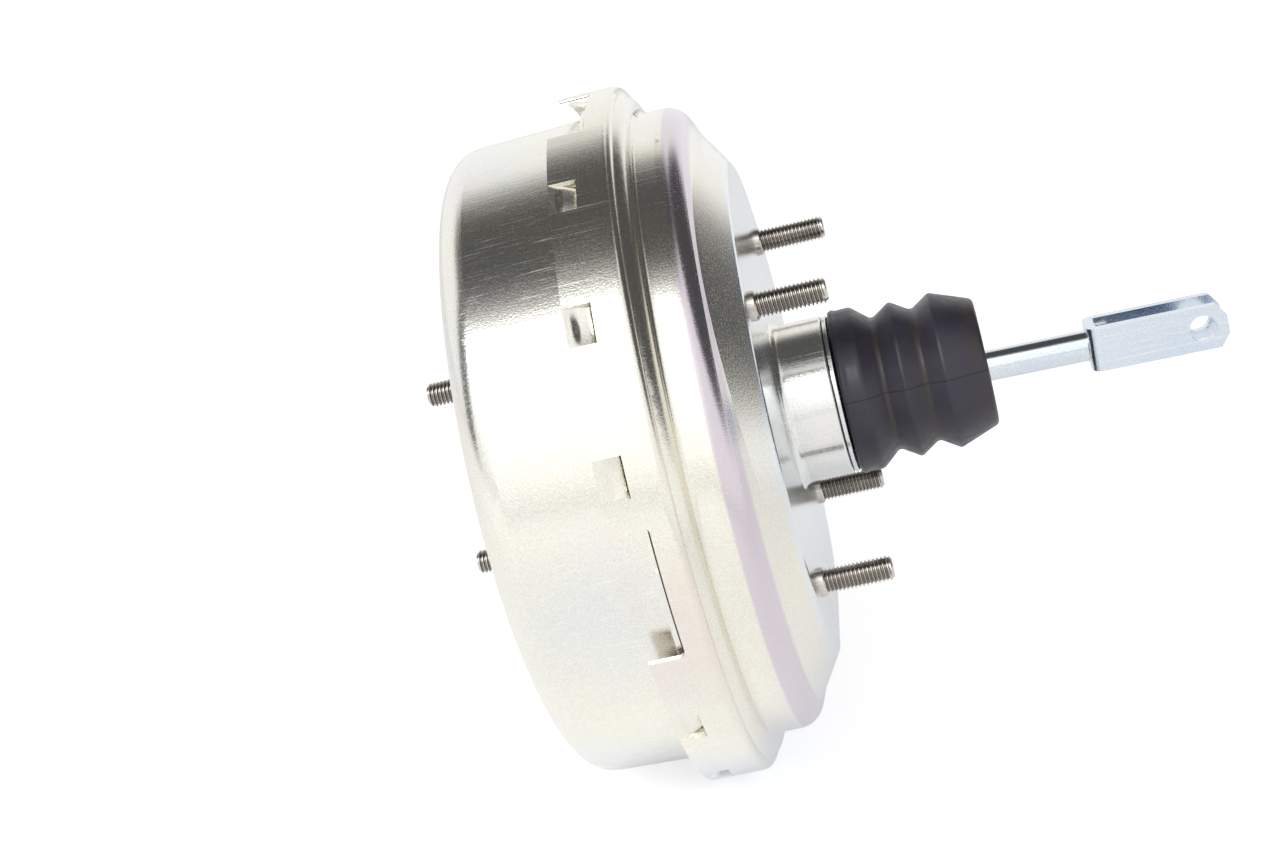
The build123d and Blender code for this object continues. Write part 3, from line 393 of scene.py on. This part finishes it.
seal_rubber, tree, shader = start_material("seal_rubber")
spot = put(tree, "ShaderNodeTexCoord").outputs["Object"]
bloom = noise(tree, spot, 120.0, 4.0)
pore = noise(tree, spot, 1800.0, 2.0)
share = ramp_between(tree, bloom, 0.4, 0.7)
colour = blend_of(tree, share, (0.016, 0.016, 0.017, 1), (0.036, 0.035, 0.036, 1))
tree.links.new(colour, shader.inputs["Base Color"])
roughen(tree, shader, bloom, 0.50, 0.68)
lift(tree, shader, pore, 0.4, 0.00003)
for piece in ("vacuum_grommet", "check_valve_disc", "poppet_valve", "reaction_disc", "hub_seal"):
    dress(piece, seal_rubber)

# Diaphragm
# Rolling diaphragm moulded from black rubber, with a faint bloom. Its thick rim is clamped
# between the shells and shows in the rim's cut-outs.

diaphragm_rubber, tree, shader = start_material("diaphragm_rubber")
spot = put(tree, "ShaderNodeTexCoord").outputs["Object"]
chalk = noise(tree, spot, 80.0, 5.0)
skin_grain = put(tree, "ShaderNodeTexVoronoi", {"Vector": spot, "Scale": 1500.0}).outputs["Distance"]
share = ramp_between(tree, chalk, 0.4, 0.75)
colour = blend_of(tree, share, (0.012, 0.012, 0.013, 1), (0.030, 0.030, 0.030, 1))
tree.links.new(colour, shader.inputs["Base Color"])
roughen(tree, shader, chalk, 0.55, 0.75)
lift(tree, shader, skin_grain, 0.3, 0.00003)
dress("diaphragm", diaphragm_rubber)

# Power piston, plunger and key
# The piston is moulded from dark phenolic resin, with a long neck that slides in the hub.
# The plunger, its key and the output rod are ground bright steel.

phenolic, tree, shader = start_material("phenolic_moulding")
spot = put(tree, "ShaderNodeTexCoord").outputs["Object"]
filler = noise(tree, spot, 480.0, 5.0)
swirl = noise(tree, spot, 40.0, distortion=2.0)
share = ramp_between(tree, swirl, 0.4, 0.7)
colour = blend_of(tree, share, (0.045, 0.038, 0.030, 1), (0.070, 0.060, 0.048, 1))
tree.links.new(colour, shader.inputs["Base Color"])
roughen(tree, shader, filler, 0.34, 0.50)
lift(tree, shader, filler, 0.3, 0.00003)
dress("valve_body", phenolic)

TURNING_MARKS = (3000.0, 120.0, 120.0)

ground_steel, tree, shader = start_material("ground_steel")
spot = put(tree, "ShaderNodeTexCoord").outputs["Object"]
turned = put(tree, "ShaderNodeMapping", {"Vector": spot, "Scale": TURNING_MARKS}).outputs["Vector"]
lathe = noise(tree, turned, 1.0)
colour = blend_of(tree, lathe, (0.56, 0.56, 0.55, 1), (0.68, 0.68, 0.67, 1))
tree.links.new(colour, shader.inputs["Base Color"])
roughen(tree, shader, lathe, 0.18, 0.32)
lift(tree, shader, lathe, 0.4, 0.00001)
shader.inputs["Metallic"].default_value = 1.0
for piece in ("valve_plunger", "stop_key", "output_rod"):
    dress(piece, ground_steel)

# Springs
# Coils of drawn spring steel wire, oil tempered to an uneven brown grey. The return spring
# stands in the front shell, and each coil moves with the body that carries it.

spring_wire, tree, shader = start_material("spring_wire")
spot = put(tree, "ShaderNodeTexCoord").outputs["Object"]
temper = noise(tree, spot, 90.0, 4.0)
share = ramp_between(tree, temper, 0.35, 0.65)
colour = blend_of(tree, share, (0.24, 0.22, 0.20, 1), (0.36, 0.34, 0.32, 1))
tree.links.new(colour, shader.inputs["Base Color"])
roughen(tree, shader, temper, 0.28, 0.42)
shader.inputs["Metallic"].default_value = 1.0
dress("poppet_spring", spring_wire)


def coil(node, body):
    """A spring remade from its CAD mesh, smooth shaded, on the body that carries it."""
    turns = bmesh.new()
    turns.from_mesh(frame["nodes"][node].data)
    bmesh.ops.transform(turns, matrix=frame["nodes"][node].matrix_world, verts=turns.verts)
    bmesh.ops.remove_doubles(turns, verts=turns.verts, dist=1e-6)
    bmesh.ops.recalc_face_normals(turns, faces=turns.faces)
    mesh = bpy.data.meshes.new(node + "_coil")
    turns.to_mesh(mesh)
    turns.free()
    mesh.shade_smooth()
    mesh.materials.clear()
    mesh.materials.append(spring_wire)
    piece = bpy.data.objects.new(node + "_coil", mesh)
    bpy.context.scene.collection.objects.link(piece)
    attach(piece, body)
    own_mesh(piece)
    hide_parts(node)


coil("return_spring", "casing")
coil("valve_return_spring", "power_piston")
coil("check_valve_spring", "casing")

# Rear shell
# The larger pressed half, crimped over the front one. It has the same plate, with a lilac film on
# the recessed ring, a bluer one on the mounting face, and a golden one low on the rim. Each
# lance is shaded as if it were dished, and a painted shade makes the underside greyer.

RIM_FADE = (0.1085, 0.1100)
GILDED_RISE = (-0.52, -0.30)
GILDED_FALL = (-0.10, 0.06)
RING_FRONT_FADE = (-0.0160, -0.0150)
RING_BACK_FADE = (-0.0092, -0.0082)
RING_INNER_FADE = (0.0835, 0.0855)
FACE_INNER_FADE = (0.0285, 0.0305)
FACE_PLANE_FADE = (-0.0020, -0.0008)
LANCE_FIRST = radians(12.0)
LANCE_PITCH = radians(22.5)
LANCE_SHARE = 0.276
LANCE_OUTER_FADE = (0.1108, 0.1119)
LANCE_END_FADE = (-0.0380, -0.0360)
LANCE_HOLLOW = 0.0007

rear_zinc, tree, shader, colour, spot = plated(
    "rear_zinc", warm=(0.88, 0.855, 0.76), cool=(0.82, 0.83, 0.81), blush=(0.87, 0.80, 0.76)
)
ahead, radius, rise = around(tree, spot)
# Painted shade: the shell's underside is blended to a greyer, bluer colour.
underside_shade = ramp_between(tree, rise, -0.95, -0.60, 0.85, 0.0)
colour = blend_of(tree, underside_shade, colour, (0.74, 0.77, 0.81, 1))
on_rim = ramp_between(tree, radius, *RIM_FADE)
gilded = math_of(
    tree, "MULTIPLY", ramp_between(tree, rise, *GILDED_RISE),
    ramp_between(tree, rise, *GILDED_FALL, 1.0, 0.0),
)
gilded = math_of(tree, "MULTIPLY", math_of(tree, "MULTIPLY", gilded, on_rim), 0.35)
colour = blend_of(tree, gilded, colour, (0.88, 0.74, 0.66, 1))
on_ring = math_of(
    tree, "MULTIPLY", ramp_between(tree, ahead, *RING_FRONT_FADE),
    ramp_between(tree, ahead, *RING_BACK_FADE, 1.0, 0.0),
)
on_ring = math_of(tree, "MULTIPLY", on_ring, ramp_between(tree, radius, *RING_INNER_FADE))
colour = blend_of(tree, math_of(tree, "MULTIPLY", on_ring, 0.6), colour, (0.62, 0.53, 0.66, 1))
on_face = math_of(
    tree, "MULTIPLY", ramp_between(tree, radius, *FACE_INNER_FADE),
    ramp_between(tree, ahead, *FACE_PLANE_FADE),
)
colour = blend_of(tree, math_of(tree, "MULTIPLY", on_face, 0.7), colour, (0.80, 0.85, 0.90, 1))
tree.links.new(colour, shader.inputs["Base Color"])
sides = put(tree, "ShaderNodeSeparateXYZ", {"Vector": spot})
clock = math_of(
    tree, "ARCTAN2", sides.outputs["Z"], math_of(tree, "MULTIPLY", sides.outputs["Y"], -1.0)
)
count = math_of(tree, "MULTIPLY", math_of(tree, "SUBTRACT", clock, LANCE_FIRST), 1.0 / LANCE_PITCH)
aside = math_of(tree, "SUBTRACT", count, math_of(tree, "ROUND", count, 0.0))
curl = math_of(tree, "COSINE", math_of(tree, "MULTIPLY", aside, pi / LANCE_SHARE), 0.0)
pressed = math_of(
    tree, "MULTIPLY", ramp_between(tree, radius, *LANCE_OUTER_FADE, 1.0, 0.0),
    ramp_between(tree, ahead, *LANCE_END_FADE, 1.0, 0.0),
)
fine = shader.inputs["Normal"].links[0].from_socket
bent = math_of(tree, "MULTIPLY", curl, pressed)
folded = put(
    tree, "ShaderNodeBump",
    {"Height": bent, "Strength": 1.0, "Distance": LANCE_HOLLOW, "Normal": fine}, invert=True,
)
tree.links.new(folded.outputs["Normal"], shader.inputs["Normal"])
dress("rear_shell", rear_zinc)

# Rear studs
# Four of the same M8 studs for the bulkhead, with their heads behind the plate in the boss.
# They stand through the mounting face and carry the booster.

REAR_SHOULDER_END = 0.0017
REAR_STUD_Y = 0.0425
REAR_STUD_Z = 0.0455

low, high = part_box("rear_studs")
studs = threaded_studs(
    "rear_studs_threaded", head=low.x, shoulder=REAR_SHOULDER_END, tip=high.x,
    places=[(y, z) for y in (-REAR_STUD_Y, REAR_STUD_Y) for z in (-REAR_STUD_Z, REAR_STUD_Z)],
    body="casing",
)
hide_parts("rear_studs")

# Guide ring, filter and silencer
# A white nylon bearing ring round the neck, pressed into the hub, and two open-cell foam
# rings that clean the air and quieten it on its way through the neck.

white_nylon, tree, shader = start_material("white_nylon")
spot = put(tree, "ShaderNodeTexCoord").outputs["Object"]
haze = noise(tree, spot, 200.0, 3.0)
colour = blend_of(tree, haze, (0.70, 0.68, 0.62, 1), (0.78, 0.76, 0.71, 1))
tree.links.new(colour, shader.inputs["Base Color"])
roughen(tree, shader, haze, 0.35, 0.48)
dress("guide_ring", white_nylon)

open_foam, tree, shader = start_material("open_foam")
spot = put(tree, "ShaderNodeTexCoord").outputs["Object"]
cells = put(tree, "ShaderNodeTexVoronoi", {"Vector": spot, "Scale": 900.0}).outputs["Distance"]
share = ramp_between(tree, cells, 0.1, 0.6)
colour = blend_of(tree, share, (0.16, 0.15, 0.13, 1), (0.04, 0.04, 0.035, 1))
tree.links.new(colour, shader.inputs["Base Color"])
tree.links.new(ramp_between(tree, cells, 0.1, 0.6, 0.80, 0.95), shader.inputs["Roughness"])
lift(tree, shader, cells, 1.0, 0.0004)
for piece in ("air_filter", "silencer"):
    dress(piece, open_foam)

# Boot ring
# Thin zinc-plated washer on the tube's end, which the boot's mouth is bonded to. It shows
# as a bright line between the hub and the boot.

ring_zinc, *_ = plated(
    "ring_zinc", warm=(0.80, 0.79, 0.74), cool=(0.76, 0.77, 0.79), blush=(0.82, 0.76, 0.73)
)
dress("boot_ring", ring_zinc)

# Boot
# Moulded rubber bellows with two folds, a collar that grips the hub and a flat end round the rod.
# The mould's parting line runs along it, and the valleys keep a trace of brown release agent.

BOOT_WALL = 0.0016
BOOT_OUTLINE = [
    (0.0192, 0.0263), (0.0203, 0.0269), (0.0218, 0.0264), (0.0263, 0.0266), (0.0325, 0.0213),
    (0.0389, 0.0254), (0.0453, 0.0213), (0.0517, 0.0254), (0.0650, 0.0204), (0.0650, 0.0054),
]
BOOT_ROUNDS = [0.00036, 0.00048, 0.00096, 0.0012, 0.00078, 0.0012, 0.00078, 0.00132]
BOOT_STEPS = 144
PARTING_TURN = radians(9.0)
VALLEY_FADE = (0.0232, 0.0216)
SEAM_FADE = (0.00008, 0.00022)

shell = bmesh.new()
corners = [shell.verts.new((x, 0, r)) for x, r in BOOT_OUTLINE]
for pair in zip(corners, corners[1:]):
    shell.edges.new(pair)
for corner, reach in zip(corners[1:-1], BOOT_ROUNDS):
    bmesh.ops.bevel(
        shell, geom=[corner], offset=reach, offset_type="OFFSET", affect="VERTICES",
        segments=5, profile=0.5, material=-1,
    )
bmesh.ops.spin(
    shell, geom=shell.verts[:] + shell.edges[:], cent=(0, 0, 0), axis=(1, 0, 0), angle=2 * pi,
    steps=BOOT_STEPS, use_merge=True,
)
bmesh.ops.remove_doubles(shell, verts=shell.verts, dist=1e-6)
bmesh.ops.recalc_face_normals(shell, faces=shell.faces)
mesh = bpy.data.meshes.new("boot_moulded")
shell.to_mesh(mesh)
shell.free()
mesh.shade_smooth()
boot = bpy.data.objects.new("boot_moulded", mesh)
bpy.context.scene.collection.objects.link(boot)
wall = boot.modifiers.new("wall", "SOLIDIFY")
wall.thickness = BOOT_WALL
wall.offset = -1.0
wall.use_even_offset = True

boot_rubber, tree, shader = start_material("boot_rubber")
spot = put(tree, "ShaderNodeTexCoord").outputs["Object"]
_, radius, _ = around(tree, spot)
scuff = noise(tree, spot, 300.0, 5.0)
cloud = noise(tree, spot, 45.0, 3.0)
share = ramp_between(tree, cloud, 0.35, 0.65)
colour = blend_of(tree, share, (0.021, 0.018, 0.029, 1), (0.031, 0.027, 0.042, 1))
in_valley = ramp_between(tree, radius, *VALLEY_FADE)
colour = blend_of(tree, math_of(tree, "MULTIPLY", in_valley, 0.6), colour, (0.036, 0.028, 0.026, 1))
parting = put(
    tree, "ShaderNodeVectorMath", {0: spot, 1: (0.0, sin(PARTING_TURN), cos(PARTING_TURN))},
    operation="DOT_PRODUCT",
).outputs["Value"]
seam = ramp_between(tree, math_of(tree, "ABSOLUTE", parting, 0.0), *SEAM_FADE, 1.0, 0.0)
colour = blend_of(tree, math_of(tree, "MULTIPLY", seam, 0.8), colour, (0.012, 0.011, 0.014, 1))
tree.links.new(colour, shader.inputs["Base Color"])
roughen(tree, shader, scuff, 0.31, 0.44)
height = math_of(tree, "SUBTRACT", math_of(tree, "MULTIPLY", scuff, 0.15), seam)
lift(tree, shader, height, 0.7, 0.0002)
mesh.materials.append(boot_rubber)
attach(boot, "casing")
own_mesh(boot)
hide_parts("boot")

# Input rod and clevis
# Turned steel rod with a ball end in the plunger, riveted into a fork folded from strip.
# Both are zinc plated with a bluer passivation, and the rod is the smoother one.

rod_zinc, *_ = plated(
    "rod_zinc", warm=(0.75, 0.80, 0.85), cool=(0.69, 0.76, 0.84), blush=(0.80, 0.83, 0.85),
    marks=0.2, relief=0.00002, gloss=0.6,
)
dress("input_rod", rod_zinc)
clevis_zinc, *_ = plated(
    "clevis_zinc", warm=(0.74, 0.79, 0.84), cool=(0.67, 0.74, 0.83), blush=(0.80, 0.83, 0.85),
    marks=0.6, gloss=0.8,
)
dress("clevis", clevis_zinc)

# Floor, surround and camera
# The booster lies on its drum's corner and its rim, so the pale sweep under it leans against
# its axis. The surround is white, with a dark ceiling, a dark side and a narrow dark flag that
# the plate mirrors, and one soft lamp gives the shadow.

FLOOR_NORMAL = Vector((0.271, 0.0, 0.963)).normalized()
FLOOR_POINT = Vector((-0.048, 0.0, -0.1126))
FLOOR_SIZE = 6.0
SEEN_GLOW = 0.56
MIRRORED_GLOW = 0.31
OPEN_LEVEL = 1.03
KEY_GAIN = 0.26
FLAG_SHARE = 0.18
SHADE_SHARE = 0.08
FLAG_ACROSS = (-0.342, 0.940, 0.0)
FLAG_TOWARDS = (-0.940, -0.342, 0.0)
SOFTBOX_PLACE = Vector((-0.35, -0.9, 0.95))

sweep = bmesh.new()
bmesh.ops.create_grid(sweep, x_segments=1, y_segments=1, size=FLOOR_SIZE)
turn = Vector((0, 0, 1)).rotation_difference(FLOOR_NORMAL).to_matrix()
bmesh.ops.rotate(sweep, verts=sweep.verts, cent=(0, 0, 0), matrix=turn)
bmesh.ops.translate(sweep, verts=sweep.verts, vec=FLOOR_POINT)
mesh = bpy.data.meshes.new("floor")
sweep.to_mesh(mesh)
sweep.free()
floor = bpy.data.objects.new("floor", mesh)
bpy.context.scene.collection.objects.link(floor)

paper, tree, shader = start_material("paper_sweep")
tree.nodes.remove(shader)
end = tree.nodes["Material Output"]
path = put(tree, "ShaderNodeLightPath")
seen = math_of(tree, "MAXIMUM", path.outputs["Is Camera Ray"], path.outputs["Is Transmission Ray"])
strength = math_of(
    tree, "MULTIPLY_ADD", seen, SEEN_GLOW,
    math_of(tree, "MULTIPLY", path.outputs["Is Glossy Ray"], MIRRORED_GLOW),
)
matte = put(tree, "ShaderNodeBsdfDiffuse", {"Color": (0.86, 0.86, 0.87, 1)})
glow = put(tree, "ShaderNodeEmission", {"Color": (1, 1, 1, 1), "Strength": strength})
lit = put(tree, "ShaderNodeAddShader", {0: matte.outputs["BSDF"], 1: glow.outputs["Emission"]})
clear = put(tree, "ShaderNodeBsdfTransparent")
behind = put(tree, "ShaderNodeNewGeometry").outputs["Backfacing"]
sheet = put(tree, "ShaderNodeMixShader", {0: behind, 1: lit.outputs["Shader"], 2: clear.outputs["BSDF"]})
tree.links.new(sheet.outputs["Shader"], end.inputs["Surface"])
mesh.materials.append(paper)

surround = bpy.data.worlds.new("studio")
bpy.context.scene.world = surround
surround.use_nodes = True
tree = surround.node_tree
back = tree.nodes["Background"]
way = put(tree, "ShaderNodeTexCoord").outputs["Generated"]


def facing(direction):
    """How far a way of the surround points along a direction."""
    made = put(tree, "ShaderNodeVectorMath", {0: way, 1: direction}, operation="DOT_PRODUCT")
    return made.outputs["Value"]


def cap(direction, inner, outer):
    """1 inside a round patch of the surround, fading to 0 at its outer angle in degrees."""
    return ramp_between(tree, facing(direction), cos(radians(outer)), cos(radians(inner)))


ceiling = cap((0.0, 0.14, 0.99), 13.0, 43.0)
dark_side = cap((0.814, 0.296, 0.5), 26.0, 42.0)
key_side = cap((0.0, -0.82, 0.57), 18.0, 40.0)
shade = math_of(tree, "MAXIMUM", ceiling, dark_side)
flag_offset = math_of(tree, "ABSOLUTE", facing(FLAG_ACROSS), 0.0)
flag = math_of(
    tree, "MULTIPLY", ramp_between(tree, flag_offset, 0.10, 0.25, 1.0, 0.0),
    ramp_between(tree, facing(FLAG_TOWARDS), 0.30, 0.50),
)
level = math_of(tree, "MULTIPLY_ADD", key_side, KEY_GAIN, OPEN_LEVEL)
level = math_of(tree, "MULTIPLY", level, ramp_between(tree, flag, 0.0, 1.0, 1.0, FLAG_SHARE))
level = math_of(tree, "MULTIPLY", level, ramp_between(tree, shade, 0.0, 1.0, 1.0, SHADE_SHARE))
path = put(tree, "ShaderNodeLightPath")
seen = math_of(tree, "MAXIMUM", path.outputs["Is Camera Ray"], path.outputs["Is Transmission Ray"])
white = put(tree, "ShaderNodeMapRange", {"Value": seen, "To Min": level, "To Max": 1.0})
back.inputs["Color"].default_value = (1, 1, 1, 1)
tree.links.new(white.outputs["Result"], back.inputs["Strength"])

softbox = bpy.data.lights.new("softbox", "AREA")
softbox.shape = "RECTANGLE"
softbox.size = 0.9
softbox.size_y = 0.6
softbox.energy = 6.0
lamp = bpy.data.objects.new("softbox", softbox)
bpy.context.scene.collection.objects.link(lamp)
lamp.location = SOFTBOX_PLACE
lamp.rotation_euler = SOFTBOX_PLACE.to_track_quat("Z", "Y").to_euler()

lens = bpy.data.cameras.new("camera")
lens.lens = 60.12
lens.sensor_width = 36.0
camera = bpy.data.objects.new("camera", lens)
bpy.context.scene.collection.objects.link(camera)
camera.location = (0.05097, -0.66198, 0.19997)
camera.rotation_euler = Matrix((
    (0.9656, 0.2179, 0.1422),
    (0.0707, 0.3062, -0.9493),
    (-0.2504, 0.9267, 0.2803),
)).to_euler()
bpy.context.scene.camera = camera
bpy.context.scene.view_settings.view_transform = "Standard"
